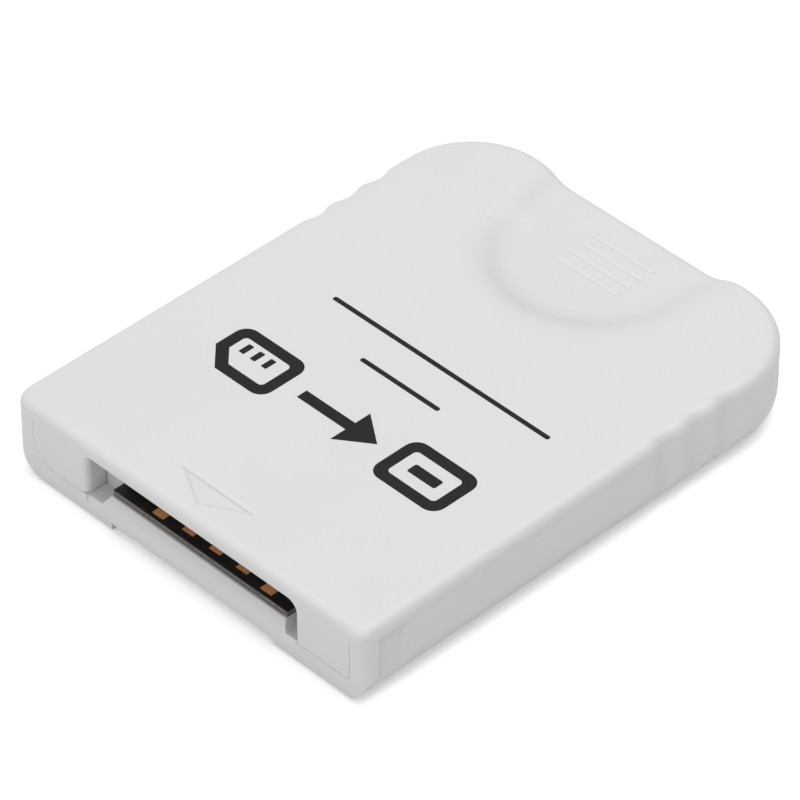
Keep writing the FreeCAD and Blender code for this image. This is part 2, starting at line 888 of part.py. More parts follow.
def add_connector_ramp(body):
    """The bed under the board's tongue and the ramp that curves up to it from the front face."""
    bed_foot = size("floor_thickness") / 2
    bed_end = front + size("bed_length")
    sketch = new_sketch(body, "XY_Plane", bed_foot)
    draw_box(sketch, window_left, front + jamb_depth, window_right, bed_end)
    pad(body, sketch, sill - bed_foot)

    half = size("ramp_width") / 2
    low_x = connector_middle - half
    high_x = connector_middle + half
    sketch = new_sketch(body, "XY_Plane", bed_foot)
    draw_box(sketch, low_x, front + size("front_foot_radius"), high_x, bed_end)
    pad(body, sketch, board_underside - bed_foot)
    sketch = new_sketch(body, "XY_Plane", sill)
    draw_box(sketch, low_x, front, high_x, bed_end)
    pad(body, sketch, board_underside - sill)

    # sloped ends
    flare = size("ramp_flare")
    sketch = new_sketch(body, "XZ_Plane", -front + cut_margin)
    draw_outline(sketch, [(low_x, sill), (low_x + flare, board_underside), (low_x, board_underside)])
    draw_outline(sketch, [(high_x, sill), (high_x, board_underside), (high_x - flare, board_underside)])
    pocket(body, sketch, size("bed_length") + cut_margin * 2)

    # the curve from the front face up to the board, across the whole window
    foot = size("ramp_foot")
    run = size("ramp_run")
    rise = board_underside - foot
    bend = (run * run + rise * rise) / (run * 2)
    sketch = new_sketch(body, "YZ_Plane", window_left)
    draw_outline(
        sketch,
        [
            (front, foot, -bend),
            (front + run, board_underside),
            (front + run, board_underside + cut_margin),
            (front - cut_margin, board_underside + cut_margin),
            (front - cut_margin, foot),
        ],
    )
    pocket(body, sketch, window_right - window_left, reverse=True)

    # the upright wall behind the left jamb that closes the pocket beside the tongue
    gap = size("pocket_wall_gap")
    wall_front = front + jamb_depth + gap
    tongue_left = connector_middle - size("board_tongue_width") / 2
    sketch = new_sketch(body, "XY_Plane", bed_foot)
    draw_box(
        sketch,
        window_left - size("left_jamb_edge"),
        wall_front,
        tongue_left - gap,
        wall_front + size("pocket_wall_thickness"),
    )
    pad(body, sketch, lid_underside - gap - bed_foot)


def cut_belly_step(body):
    """The shallow step in the underside that starts at the front under the window."""
    half = size("belly_step_width") / 2
    slope = size("belly_step_slope")
    depth = size("belly_step_depth")
    overrun = slope * cut_margin / depth
    sketch = new_sketch(body, "XZ_Plane", -front + cut_margin)
    draw_outline(
        sketch,
        [
            (connector_middle - half - slope - overrun, -as_length(cut_margin)),
            (connector_middle + half + slope + overrun, -as_length(cut_margin)),
            (connector_middle + half, depth),
            (connector_middle - half, depth),
        ],
    )
    pocket(body, sketch, size("belly_step_length") + cut_margin)
    reach = half + slope / 2
    round_front_foot(body, connector_middle - reach, connector_middle + reach, depth)


def cut_guide_notches(body):
    """One shallow notch in each side wall near the front, with a sloped rear end."""
    start = front + size("notch_start")
    end = start + size("notch_length")
    slope = size("notch_slope")
    depth = size("notch_depth")
    overrun = slope * cut_margin / depth
    for side in (-1, 1):
        sketch = new_sketch(body, "XY_Plane", seam - joint_gap * 2)
        outline = [
            ((half_width + cut_margin) * side, start),
            ((half_width + cut_margin) * side, end + slope + overrun),
            ((half_width - depth) * side, end),
            ((half_width - depth) * side, start),
        ]
        draw_outline(sketch, outline)
        pocket(body, sketch, seam)


def open_rear(body):
    """The card slot through the rear wall, wider at its mouth, and the gap above it for the lid's skirt."""
    slot_half = rail_half + size("slot_side_clearance")
    middle = (socket_floor + socket_roof) / 2
    slot_low = middle - size("slot_height") / 2
    slot_high = middle + size("slot_height") / 2
    lead = size("slot_lead_in")
    sketch = new_sketch(body, "XZ_Plane", -rear - cut_margin)
    draw_box(sketch, -slot_half, slot_low, slot_half, slot_high)
    pocket(body, sketch, size("rear_wall") + cut_margin * 2, reverse=True)

    skirt_half = size("rear_skirt_width") / 2 + joint_gap
    sketch = new_sketch(body, "XZ_Plane", -rear - cut_margin)
    draw_box(sketch, -skirt_half, size("rear_skirt_foot") - joint_gap, skirt_half, seam + cut_margin)
    pocket(body, sketch, size("rear_wall") + cut_margin * 2, reverse=True)

    mouth = new_sketch(body, "XZ_Plane", -rear - lead)
    spread = lead * 2
    draw_box(mouth, -slot_half - spread, slot_low - spread, slot_half + spread, slot_high + spread)
    throat = new_sketch(body, "XZ_Plane", -rear + lead)
    draw_box(throat, -slot_half, slot_low, slot_half, slot_high)
    cut_loft(body, "SlotLeadIn", [mouth, throat])


def add_board_supports(body):
    """Two posts with pegs that locate the board, and a ledge on each side wall under its arms."""
    for x, y in post_places:
        low = size("floor_thickness") / 2
        add_post(body, x, y, low, board_underside, size("post_diameter"))
        add_post(body, x, y, board_underside, board_top + size("peg_height"), size("peg_diameter"))
    ledge_foot = board_underside - size("ledge_height")
    high_y = board_end - size("ledge_inset")
    low_y = high_y - size("ledge_length")
    inner = inner_half_width - size("ledge_width")
    outer = inner_half_width + root_overlap
    for low_x, high_x in ((-outer, -inner), (inner, outer)):
        sketch = new_sketch(body, "XY_Plane", ledge_foot)
        draw_box(sketch, low_x, low_y, high_x, high_y)
        pad(body, sketch, size("ledge_height"))


def build_circuit_board():
    """Board with a narrow tongue for the edge contacts, wide shoulders and two arms beside the socket."""
    body = new_body("circuit_board")
    half = inner_half_width - size("board_side_gap")
    tongue = size("board_tongue_width") / 2
    bay = socket_half + size("shield_thickness") + size("board_bay_clearance")
    nose = front + size("board_inset")
    shoulder = front + size("board_shoulder")
    sketch = new_sketch(body, "XY_Plane", board_underside)
    draw_outline(
        sketch,
        [
            (connector_middle - tongue, nose),
            (connector_middle + tongue, nose),
            (connector_middle + tongue, shoulder),
            (half, shoulder),
            (half, board_end),
            (bay, board_end),
            (bay, bay_start),
            (-bay, bay_start),
            (-bay, board_end),
            (-half, board_end),
            (-half, shoulder),
            (connector_middle - tongue, shoulder),
        ],
    )
    for x, y in post_places:
        draw_circle(sketch, x, y, size("peg_diameter") + size("running_clearance") * 2)
    pad(body, sketch, size("board_thickness"))
    return body


def build_edge_contact(index):
    """One gold strip on top of the board's tongue. The first and the last reach further forward."""
    body = new_body(f"edge_contact_{index + 1}")
    outer = index in (0, contact_count - 1)
    half = size("contact_width") / 2
    inset = size("long_contact_inset" if outer else "contact_inset")
    middle = connector_middle + size("contact_first") + size("contact_pitch") * index
    start = front + size("board_inset") + inset
    sketch = new_sketch(body, "XY_Plane", board_top)
    draw_box(sketch, middle - half, start, middle + half, start + size("contact_length"))
    pad(body, sketch, size("contact_thickness"))
    return body


def build_socket_insulator():
    """Moulded base of the card socket with its back wall, two side rails and a channel for each contact."""
    body = new_body("card_socket_insulator")
    thickness = size("socket_base_thickness")
    wall_front = socket_back + size("socket_back_wall")
    sketch = new_sketch(body, "XY_Plane", socket_floor - thickness)
    draw_box(sketch, -socket_half, socket_back, socket_half, socket_back + size("socket_base_length"))
    pad(body, sketch, thickness)
    sketch = new_sketch(body, "XY_Plane", socket_floor)
    draw_outline(
        sketch,
        [
            (-socket_half, socket_back),
            (socket_half, socket_back),
            (socket_half, socket_mouth),
            (rail_half, socket_mouth),
            (rail_half, wall_front),
            (-rail_half, wall_front),
            (-rail_half, socket_mouth),
            (-socket_half, socket_mouth),
        ],
    )
    pad(body, sketch, socket_roof - socket_floor)

    # a channel through the back wall and along the base for each contact
    gap = size("spring_clearance")
    bend = socket_back + size("spring_bend") - gap
    channel_end = socket_back + size("spring_channel_end")
    half = size("spring_width") / 2 + size("spring_side_clearance")
    row_start = -size("spring_pitch") * (spring_count - 1) / 2
    sketch = new_sketch(body, "YZ_Plane", row_start - half)
    draw_outline(
        sketch,
        [
            (socket_back - cut_margin, board_top - gap),
            (bend, board_top - gap),
            (bend, channel_floor),
            (channel_end, channel_floor),
            (channel_end, socket_floor + gap),
            (wall_front + gap, socket_floor + gap),
            (wall_front + gap, board_top + size("spring_thickness") + gap),
            (socket_back - cut_margin, board_top + size("spring_thickness") + gap),
        ],
    )
    channel = pocket(body, sketch, half * 2, reverse=True)
    pattern(body, channel, "X_Axis", size("spring_pitch"), spring_count)

    # slots for the switch springs in the left rail
    slot_gap = size("switch_slot_clearance")
    half_slot = size("switch_spring_width") / 2 + slot_gap
    for place in ("protect_spring_place", "detect_spring_place"):
        low_y = socket_mouth - size(place) - slot_gap
        high_y = socket_mouth - size(place) + size("switch_spring_length") + slot_gap
        sketch = new_sketch(body, "XY_Plane", switch_middle - half_slot)
        draw_box(sketch, -rail_half - size("switch_slot_depth"), low_y, -rail_half + gap, high_y)
        pocket(body, sketch, half_slot * 2, reverse=True)
    return body


def build_socket_shield():
    """Folded sheet cover of the card socket, with flanges, solder tabs, leaf springs and a finger notch."""
    body = new_body("card_socket_shield")
    sheet_metal = size("shield_thickness")
    outer = socket_half + sheet_metal
    foot = socket_floor - sheet_metal
    sketch = new_sketch(body, "XZ_Plane", -socket_back)
    draw_outline(
        sketch,
        [
            (socket_half, foot),
            (outer, foot),
            (outer, socket_roof + sheet_metal),
            (-outer, socket_roof + sheet_metal),
            (-outer, foot),
            (-socket_half, foot),
            (-socket_half, socket_roof),
            (socket_half, socket_roof),
        ],
    )
    pad(body, sketch, socket_mouth - socket_back, reverse=True)

    flange_start = socket_back + size("socket_base_length") + size("shield_flange_gap")
    for side in (-1, 1):
        inner_x = (outer - size("shield_flange")) * side
        outer_x = outer * side
        sketch = new_sketch(body, "XY_Plane", foot)
        draw_outline(
            sketch,
            [
                (inner_x, flange_start),
                (outer_x, flange_start),
                (outer_x, socket_mouth),
                (inner_x, socket_mouth),
            ],
        )
        pad(body, sketch, sheet_metal)
        for place in ("shield_tab_first", "shield_tab_second"):
            start = socket_back + size(place)
            end = start + size("shield_tab_length")
            tip = (outer + size("shield_tab_reach")) * side
            sketch = new_sketch(body, "XY_Plane", board_top)
            root = socket_half * side
            draw_outline(sketch, [(root, start), (tip, start), (tip, end), (root, end)])
            pad(body, sketch, sheet_metal)

    # each leaf is left standing by a slot round three of its sides
    half = size("leaf_width") / 2
    slot = size("leaf_slot")
    start = socket_mouth - size("leaf_place")
    end = start + size("leaf_length")
    for side in (-1, 1):
        middle = size("leaf_spacing") / 2 * side
        sketch = new_sketch(body, "XY_Plane", socket_roof + sheet_metal)
        draw_outline(
            sketch,
            [
                (middle - half - slot, start),
                (middle - half, start),
                (middle - half, end),
                (middle + half, end),
                (middle + half, start),
                (middle + half + slot, start),
                (middle + half + slot, end + slot),
                (middle - half - slot, end + slot),
            ],
        )
        pocket(body, sketch, sheet_metal)

    sketch = new_sketch(body, "XY_Plane", socket_roof + sheet_metal)
    draw_circle(sketch, 0.0, socket_mouth, size("finger_notch_diameter"))
    pocket(body, sketch, sheet_metal)
    return body


def build_card_contact(index):
    """One card contact: a soldered tail, a bend down behind the card, a flat run and a raised crest."""
    body = new_body(f"card_contact_{index + 1}")
    metal = size("spring_thickness")
    tail = bay_start - size("spring_tail")
    bend = socket_back + size("spring_bend")
    flat = socket_back + size("spring_flat")
    crest = socket_back + size("spring_crest")
    end = socket_back + size("spring_end")
    crest_height = channel_floor + size("spring_crest_rise")
    end_height = channel_floor + size("spring_end_rise")
    middle = size("spring_pitch") * (index - (spring_count - 1) / 2)
    sketch = new_sketch(body, "YZ_Plane", middle - size("spring_width") / 2)
    draw_outline(
        sketch,
        [
            (tail, board_top),
            (bend, board_top),
            (bend, channel_floor),
            (flat, channel_floor),
            (crest, crest_height),
            (end, end_height),
            (end, end_height + metal),
            (crest, crest_height + metal),
            (flat, channel_floor + metal),
            (bend + metal, channel_floor + metal),
            (bend + metal, board_top + metal),
            (tail, board_top + metal),
        ],
    )
    pad(body, sketch, size("spring_width"))
    return body


def build_switch_spring(label, place):
    """A bent strip in the left rail whose bump the card pushes back."""
    body = new_body(label)
    metal = size("switch_spring_thickness")
    ramp = size("switch_spring_ramp")
    bump = size("switch_spring_bump")
    seat = -rail_half - size("switch_slot_depth")
    start = socket_mouth - size(place)
    end = start + size("switch_spring_length")
    crest = (start + end) / 2
    sketch = new_sketch(body, "XY_Plane", switch_middle - size("switch_spring_width") / 2)
    draw_outline(
        sketch,
        [
            (seat, end),
            (seat, crest + ramp),
            (seat + bump, crest),
            (seat, crest - ramp),
            (seat, start),
            (seat + metal, start),
            (seat + metal, crest - ramp),
            (seat + bump + metal, crest),
            (seat + metal, crest + ramp),
            (seat + metal, end),
        ],
    )
    pad(body, sketch, size("switch_spring_width"))
    return body


def build_chip(label, kind, middle):
    """A small brick on the board with a slightly larger cap at each end."""
    body = new_body(label)
    half_length_x = size(f"{kind}_length") / 2
    half_width_y = size(f"{kind}_width") / 2
    height = size(f"{kind}_height")
    place = bay_start - size(f"{kind}_place")
    rise = size("end_cap_rise")
    sketch = new_sketch(body, "XY_Plane", board_top)
    draw_box(
        sketch, middle - half_length_x, place - half_width_y, middle + half_length_x, place + half_width_y
    )
    pad(body, sketch, height)
    for side in (-1, 1):
        tip = middle + half_length_x * side
        root = middle + (half_length_x - size("end_cap_length")) * side
        low_y = place - half_width_y - rise
        high_y = place + half_width_y + rise
        sketch = new_sketch(body, "XY_Plane", board_top)
        draw_outline(sketch, [(root, low_y), (tip, low_y), (tip, high_y), (root, high_y)])
        pad(body, sketch, height + rise)
    return body


def place_in_row(index, count, pitch):
    """Where one of an evenly spaced row stands, counted from the row's middle."""
    return size(pitch) * (index - (count - 1) / 2)


nodes = [build_upper_shell(), build_lower_shell(), build_circuit_board()]
nodes += [build_edge_contact(index) for index in range(contact_count)]
nodes += [build_socket_insulator(), build_socket_shield()]
nodes += [build_card_contact(index) for index in range(spring_count)]
nodes.append(build_switch_spring("card_detect_spring", "detect_spring_place"))
nodes.append(build_switch_spring("write_protect_spring", "protect_spring_place"))
for number in range(resistor_count):
    spot = connector_middle + place_in_row(number, resistor_count, "resistor_pitch")
    nodes.append(build_chip(f"chip_resistor_{number + 1}", "resistor", spot))
for number in range(capacitor_count):
    spot = connector_middle + place_in_row(number, capacitor_count, "capacitor_pitch")
    nodes.append(build_chip(f"chip_capacitor_{number + 1}", "capacitor", spot))
doc.recompute()

for item in doc.Objects:
    if "Invalid" in item.State or "Error" in item.State:
        raise ValueError(f"{item.Label} could not be computed")
os.makedirs("parts", exist_ok=True)
for node in nodes:
    if node.Shape.isNull() or not node.Shape.isValid() or len(node.Shape.Solids) != 1:
        raise ValueError(f"{node.Label} is not one valid solid")
    node.Shape.exportStep(f"parts/{node.Label}.step")
    print(node.Label, round(node.Shape.Volume, 3))
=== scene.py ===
import bmesh
import bpy
import math
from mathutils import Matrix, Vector


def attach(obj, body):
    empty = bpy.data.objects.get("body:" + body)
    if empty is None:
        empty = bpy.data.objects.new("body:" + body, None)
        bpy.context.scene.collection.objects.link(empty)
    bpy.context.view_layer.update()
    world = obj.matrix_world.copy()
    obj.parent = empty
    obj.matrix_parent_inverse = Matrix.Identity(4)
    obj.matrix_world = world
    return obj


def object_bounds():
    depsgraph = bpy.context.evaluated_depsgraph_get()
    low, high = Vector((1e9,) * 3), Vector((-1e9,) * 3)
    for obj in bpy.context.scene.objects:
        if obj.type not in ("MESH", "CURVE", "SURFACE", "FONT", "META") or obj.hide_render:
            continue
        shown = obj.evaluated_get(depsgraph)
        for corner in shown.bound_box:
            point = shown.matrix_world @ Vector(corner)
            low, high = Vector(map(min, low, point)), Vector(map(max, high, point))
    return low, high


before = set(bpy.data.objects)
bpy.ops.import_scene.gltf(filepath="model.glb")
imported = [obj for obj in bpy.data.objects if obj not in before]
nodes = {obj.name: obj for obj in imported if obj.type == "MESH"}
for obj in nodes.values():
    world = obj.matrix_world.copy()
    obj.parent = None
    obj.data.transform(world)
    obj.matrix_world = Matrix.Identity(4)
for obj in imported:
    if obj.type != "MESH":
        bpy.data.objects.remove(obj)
cadLow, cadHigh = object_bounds()
millimetre = 0.001
lidTop = cadHigh.z
white = (1, 1, 1, 1)
print("frame loaded,", len(nodes), "pieces")


# node helpers

mixSockets = {"factor": 0, "first": 6, "second": 7, "result": 2}  # the colour sockets of a Mix node


def newGroup(name, inputs, outputs):
    tree = bpy.data.node_groups.new(name, "ShaderNodeTree")
    for label, kind, default in inputs:
        socket = tree.interface.new_socket(name=label, in_out="INPUT", socket_type=kind)
        socket.default_value = default
    for label, kind in outputs:
        tree.interface.new_socket(name=label, in_out="OUTPUT", socket_type=kind)
    return tree, tree.nodes.new("NodeGroupInput"), tree.nodes.new("NodeGroupOutput")


def addNode(tree, kind, settings=None, values=None):
    node = tree.nodes.new(kind)
    for key, value in (settings or {}).items():
        setattr(node, key, value)
    for key, value in (values or {}).items():
        node.inputs[key].default_value = value
    return node


def join(tree, source, target):
    tree.links.new(source, target)


def mathNode(tree, operation, first, second=None):
    node = addNode(tree, "ShaderNodeMath", {"operation": operation})
    for index, value in enumerate((first, second)):
        if value is None:
            continue
        if isinstance(value, (int, float)):
            node.inputs[index].default_value = value
        else:
            join(tree, value, node.inputs[index])
    return node.outputs[0]


def mapRange(tree, source, low, high, toLow=0.0, toHigh=1.0):
    node = addNode(tree, "ShaderNodeMapRange", {"clamp": True})
    given = (("From Min", low), ("From Max", high), ("To Min", toLow), ("To Max", toHigh))
    for key, value in given:
        node.inputs[key].default_value = value
    join(tree, source, node.inputs["Value"])
    return node.outputs[0]


def mixColor(tree, factor, first, second):
    node = addNode(tree, "ShaderNodeMix", {"data_type": "RGBA"})
    join(tree, factor, node.inputs[mixSockets["factor"]])
    for label, value in (("first", first), ("second", second)):
        socket = node.inputs[mixSockets[label]]
        if isinstance(value, tuple):
            socket.default_value = value
        else:
            join(tree, value, socket)
    return node.outputs[mixSockets["result"]]


def objectPlace(tree):
    return addNode(tree, "ShaderNodeTexCoord").outputs["Object"]


def splitVector(tree, source):
    parts = addNode(tree, "ShaderNodeSeparateXYZ")
    join(tree, source, parts.inputs[0])
    return parts.outputs


def packVector(tree, sources):
    packed = addNode(tree, "ShaderNodeCombineXYZ")
    for index, source in enumerate(sources):
        join(tree, source, packed.inputs[index])
    return packed.outputs[0]


# shared surface effects

grainLook = {
    "grainNoise": {"Detail": 3.0, "Roughness": 0.6},
    "cloudNoise": {"Detail": 4.0, "Roughness": 0.55},
    "cloudRange": (0.35, 0.65),
    "cloudMiddle": 0.5,
}
wipeNoise = {"Detail": 2.0, "Roughness": 0.5}


def buildMouldedGrain():
    # fine grain for the height, and broad clouds that vary the colour and the roughness
    tree, given, result = newGroup(
        "mouldedGrain",
        [
            ("Color", "NodeSocketColor", (0.7, 0.7, 0.7, 1)),
            ("Shade", "NodeSocketColor", (0.66, 0.66, 0.66, 1)),
            ("Grain Scale", "NodeSocketFloat", 5200.0),
            ("Cloud Scale", "NodeSocketFloat", 90.0),
            ("Roughness", "NodeSocketFloat", 0.4),
            ("Roughness Spread", "NodeSocketFloat", 0.08),
        ],
        [
            ("Color", "NodeSocketColor"),
            ("Roughness", "NodeSocketFloat"),
            ("Height", "NodeSocketFloat"),
        ],
    )
    place = objectPlace(tree)
    grain = addNode(tree, "ShaderNodeTexNoise", None, grainLook["grainNoise"])
    cloud = addNode(tree, "ShaderNodeTexNoise", None, grainLook["cloudNoise"])
    for noise, label in ((grain, "Grain Scale"), (cloud, "Cloud Scale")):
        join(tree, place, noise.inputs["Vector"])
        join(tree, given.outputs[label], noise.inputs["Scale"])
    clouded = mapRange(tree, cloud.outputs["Fac"], *grainLook["cloudRange"])
    tint = mixColor(tree, clouded, given.outputs["Color"], given.outputs["Shade"])
    join(tree, tint, result.inputs["Color"])
    centred = mathNode(tree, "SUBTRACT", cloud.outputs["Fac"], grainLook["cloudMiddle"])
    spread = mathNode(tree, "MULTIPLY", centred, given.outputs["Roughness Spread"])
    rough = mathNode(tree, "ADD", given.outputs["Roughness"], spread)
    join(tree, rough, result.inputs["Roughness"])
    join(tree, grain.outputs["Fac"], result.inputs["Height"])
    return tree


def buildDustSpecks():
    # small round specks in some of the cells, as many of them as Amount says
    tree, given, result = newGroup(
        "dustSpecks",
        [
            ("Scale", "NodeSocketFloat", 130.0),
            ("Size", "NodeSocketFloat", 0.045),
            ("Amount", "NodeSocketFloat", 0.5),
        ],
        [("Mask", "NodeSocketFloat")],
    )
    cells = addNode(tree, "ShaderNodeTexVoronoi", {"feature": "F1"}, {"Randomness": 1.0})
    join(tree, objectPlace(tree), cells.inputs["Vector"])
    join(tree, given.outputs["Scale"], cells.inputs["Scale"])
    close = mathNode(tree, "LESS_THAN", cells.outputs["Distance"], given.outputs["Size"])
    channels = addNode(tree, "ShaderNodeSeparateColor")
    join(tree, cells.outputs["Color"], channels.inputs[0])
    chosen = mathNode(tree, "LESS_THAN", channels.outputs[0], given.outputs["Amount"])
    join(tree, mathNode(tree, "MULTIPLY", close, chosen), result.inputs["Mask"])
    return tree


def buildWipeLines():
    # fine lines along Y, as left on a contact by its mating spring
    tree, given, result = newGroup(
        "wipeLines",
        [("Line Scale", "NodeSocketFloat", 9000.0), ("Stretch", "NodeSocketFloat", 0.03)],
        [("Lines", "NodeSocketFloat")],
    )
    place = splitVector(tree, objectPlace(tree))
    drawnOut = mathNode(tree, "MULTIPLY", place["Y"], given.outputs["Stretch"])
    noise = addNode(tree, "ShaderNodeTexNoise", None, wipeNoise)
    join(tree, packVector(tree, (place["X"], drawnOut, place["Z"])), noise.inputs["Vector"])
    join(tree, given.outputs["Line Scale"], noise.inputs["Scale"])
    join(tree, noise.outputs["Fac"], result.inputs["Lines"])
    return tree


mouldedGrain = buildMouldedGrain()
dustSpecks = buildDustSpecks()
wipeLines = buildWipeLines()
print("surface effects built")


# materials

bumpLook = {"grainHeight": 0.00002, "lineHeight": 0.00001, "edgeSamples": 8}  # heights in metres


def newMaterial(name):
    material = bpy.data.materials.new(name)
    material.use_nodes = True
    tree = material.node_tree
    return material, tree, tree.nodes["Principled BSDF"]


def placeGroup(tree, group, values):
    node = addNode(tree, "ShaderNodeGroup", {"node_tree": group})
    for key, value in values.items():
        node.inputs[key].default_value = value
    return node


def placeGrain(tree, look):
    return placeGroup(
        tree,
        mouldedGrain,
        {
            "Color": look["color"],
            "Shade": look["shade"],
            "Grain Scale": look["grainScale"],
            "Cloud Scale": look["cloudScale"],
            "Roughness": look["roughness"],
            "Roughness Spread": look["roughnessSpread"],
        },
    )


def addBump(tree, shader, height, strength, distance, edgeRadius=None):
    bump = addNode(tree, "ShaderNodeBump", None, {"Strength": strength, "Distance": distance})
    join(tree, height, bump.inputs["Height"])
    if edgeRadius:
        samples = {"samples": bumpLook["edgeSamples"]}
        softEdge = addNode(tree, "ShaderNodeBevel", samples, {"Radius": edgeRadius})
        join(tree, softEdge.outputs[0], bump.inputs["Normal"])
    join(tree, bump.outputs[0], shader.inputs["Normal"])


def paintArrowShadeAndHighlight(tree, base, look):
    # painted shade and highlight at the sunk arrow: a soft dark line of painted shade inside its
    # rear edge, a paler rim of painted highlight behind it, and painted shade over the left-hand
    # part of its inside
    place = splitVector(tree, objectPlace(tree))
    half = look["halfWidth"] * millimetre
    fade = look["fade"] * millimetre
    darkEnd = look["darkWidth"] * millimetre
    paleEnd = -look["paleWidth"] * millimetre
    shadeStart, shadeFull = (share * half for share in look["shadeShares"])
    lidLow, lidHigh = (lidTop - depth * millimetre for depth in look["lidDepths"])
    sideways = mathNode(tree, "SUBTRACT", place["X"], look["middle"] * millimetre)
    spread = mathNode(tree, "ABSOLUTE", sideways)
    inward = mathNode(tree, "SUBTRACT", look["rearEdge"] * millimetre, place["Y"])
    between = mapRange(tree, spread, half, half - look["endFades"] * fade)
    onLid = mapRange(tree, place["Z"], lidLow, lidHigh)
    nearEdge = mathNode(tree, "MULTIPLY", between, onLid)
    # painted shade: a dark line just inside the arrow's rear edge
    pastEdge = mapRange(tree, inward, 0.0, fade)
    beforeDarkEnd = mapRange(tree, inward, darkEnd + fade, darkEnd)
    dark = mathNode(tree, "MULTIPLY", pastEdge, beforeDarkEnd)
    # painted highlight: a paler rim just behind the arrow's rear edge
    behindEdge = mapRange(tree, inward, -look["rimStart"] * fade, -fade)
    beforePaleEnd = mapRange(tree, inward, paleEnd - fade, paleEnd)
    pale = mathNode(tree, "MULTIPLY", behindEdge, beforePaleEnd)
    # painted shade over the left-hand part of the arrow's inside
    slope = mathNode(tree, "MULTIPLY", inward, look["halfWidth"] / look["depth"])
    inside = mapRange(tree, mathNode(tree, "ADD", spread, slope), half, half - fade)
    leftHand = mapRange(tree, sideways, shadeStart, shadeFull)
    shaded = mathNode(tree, "MULTIPLY", mathNode(tree, "MULTIPLY", inside, leftHand), pastEdge)
    for mask, label in ((shaded, "paintedInsideShadeColor"), (dark, "paintedEdgeShadeColor"), (pale, "paintedRimHighlightColor")):
        base = mixColor(tree, mathNode(tree, "MULTIPLY", mask, nearEdge), base, look[label])
    return base


def paintRibHighlight(tree, base, look):
    # painted highlight: the ribs in the thumb recess are painted a little paler than the plastic
    # round them
    place = splitVector(tree, objectPlace(tree))
    pitch = look["pitch"] * millimetre
    edge = look["halfWidth"] * millimetre
    straightHalf = (look["halfLength"] - look["halfWidth"]) * millimetre
    bottom = look["recessHeight"] * millimetre
    fromFirst = mathNode(tree, "SUBTRACT", place["Y"], look["firstRib"] * millimetre)
    steps = mathNode(tree, "DIVIDE", fromFirst, pitch)
    nearest = mathNode(tree, "MAXIMUM", mathNode(tree, "ROUND", steps), 0.0)
    nearest = mathNode(tree, "MINIMUM", nearest, look["ribCount"] - 1)
    across = mathNode(tree, "MULTIPLY", mathNode(tree, "SUBTRACT", steps, nearest), pitch)
    sideways = mathNode(tree, "SUBTRACT", place["X"], look["middle"] * millimetre)
    pastEnd = mathNode(tree, "SUBTRACT", mathNode(tree, "ABSOLUTE", sideways), straightHalf)
    along = mathNode(tree, "MAXIMUM", pastEnd, 0.0)
    distance = addNode(tree, "ShaderNodeVectorMath", {"operation": "LENGTH"})
    join(tree, packVector(tree, (across, along)), distance.inputs[0])
    rounded = distance.outputs["Value"]
    onRib = mapRange(tree, rounded, edge + look["fade"] * millimetre, edge)
    above = mapRange(tree, place["Z"], bottom, bottom + look["recessFade"] * millimetre)
    # painted highlight: the rib areas above the recess floor take the paler colour
    return mixColor(tree, mathNode(tree, "MULTIPLY", onRib, above), base, look["color"])


def plasticMaterial(name, look):
    material, tree, shader = newMaterial(name)
    surface = placeGrain(tree, look)
    specks = placeGroup(tree, dustSpecks, look["specks"])
    mask = specks.outputs["Mask"]
    tinted = mixColor(tree, mask, surface.outputs["Color"], look["speckColor"])
    if "arrow" in look:
        # painted shade and painted highlight at the sunk arrow
        tinted = paintArrowShadeAndHighlight(tree, tinted, look["arrow"])
        # painted highlight on the ribs in the thumb recess
        tinted = paintRibHighlight(tree, tinted, look["ribs"])
    join(tree, tinted, shader.inputs["Base Color"])
    join(tree, surface.outputs["Roughness"], shader.inputs["Roughness"])
    shader.inputs["IOR"].default_value = look["ior"]
    grain = surface.outputs["Height"]
    grainHeight = bumpLook["grainHeight"]
    addBump(tree, shader, grain, look["grainDepth"], grainHeight, look["edgeRadius"])
    return material


housingLook = {
    "color": (0.553, 0.553, 0.556, 1),
    "shade": (0.543, 0.543, 0.546, 1),
    "grainScale": 5200.0,
    "cloudScale": 60.0,
    "roughness": 0.46,
    "roughnessSpread": 0.12,
    "specks": {"Scale": 400.0, "Size": 0.04, "Amount": 0.1},
    "speckColor": (0.3, 0.29, 0.28, 1),
    "grainDepth": 0.35,
    "ior": 1.49,
    "edgeRadius": 0.00007,
    "arrow": {  # places and widths in millimetres
        "middle": 0.0,
        "rearEdge": -23.05,
        "halfWidth": 4.35,
        "depth": 2.45,
        "fade": 0.11,
        "endFades": 2,  # fades over which the lines run out at their ends
        "rimStart": 0.5,  # fades behind the edge
        "darkWidth": 0.18,
        "paleWidth": 0.26,
        "shadeShares": (0.3, -0.5),  # of the half width, where the inner painted shade starts and is full
        "lidDepths": (0.4, 0.3),  # below the lid's top, where the painted shading stops
        # colours of the painted shade inside the arrow, the painted shade along its rear edge and
        # the painted highlight on the rim behind it
        "paintedInsideShadeColor": (0.53, 0.53, 0.533, 1),
        "paintedEdgeShadeColor": (0.475, 0.475, 0.478, 1),
        "paintedRimHighlightColor": (0.572, 0.572, 0.575, 1),
    },
    "ribs": {  # places and widths in millimetres
        "ribCount": 4,
        "middle": 0.9,
        "halfLength": 3.76,
        "halfWidth": 0.31,
        "firstRib": 19.1,
        "pitch": 1.45,
        "fade": 0.08,
        "recessHeight": 6.4,
        "recessFade": 0.1,
        # the painted highlight colour of the ribs
        "color": (0.566, 0.566, 0.569, 1),
    },
}
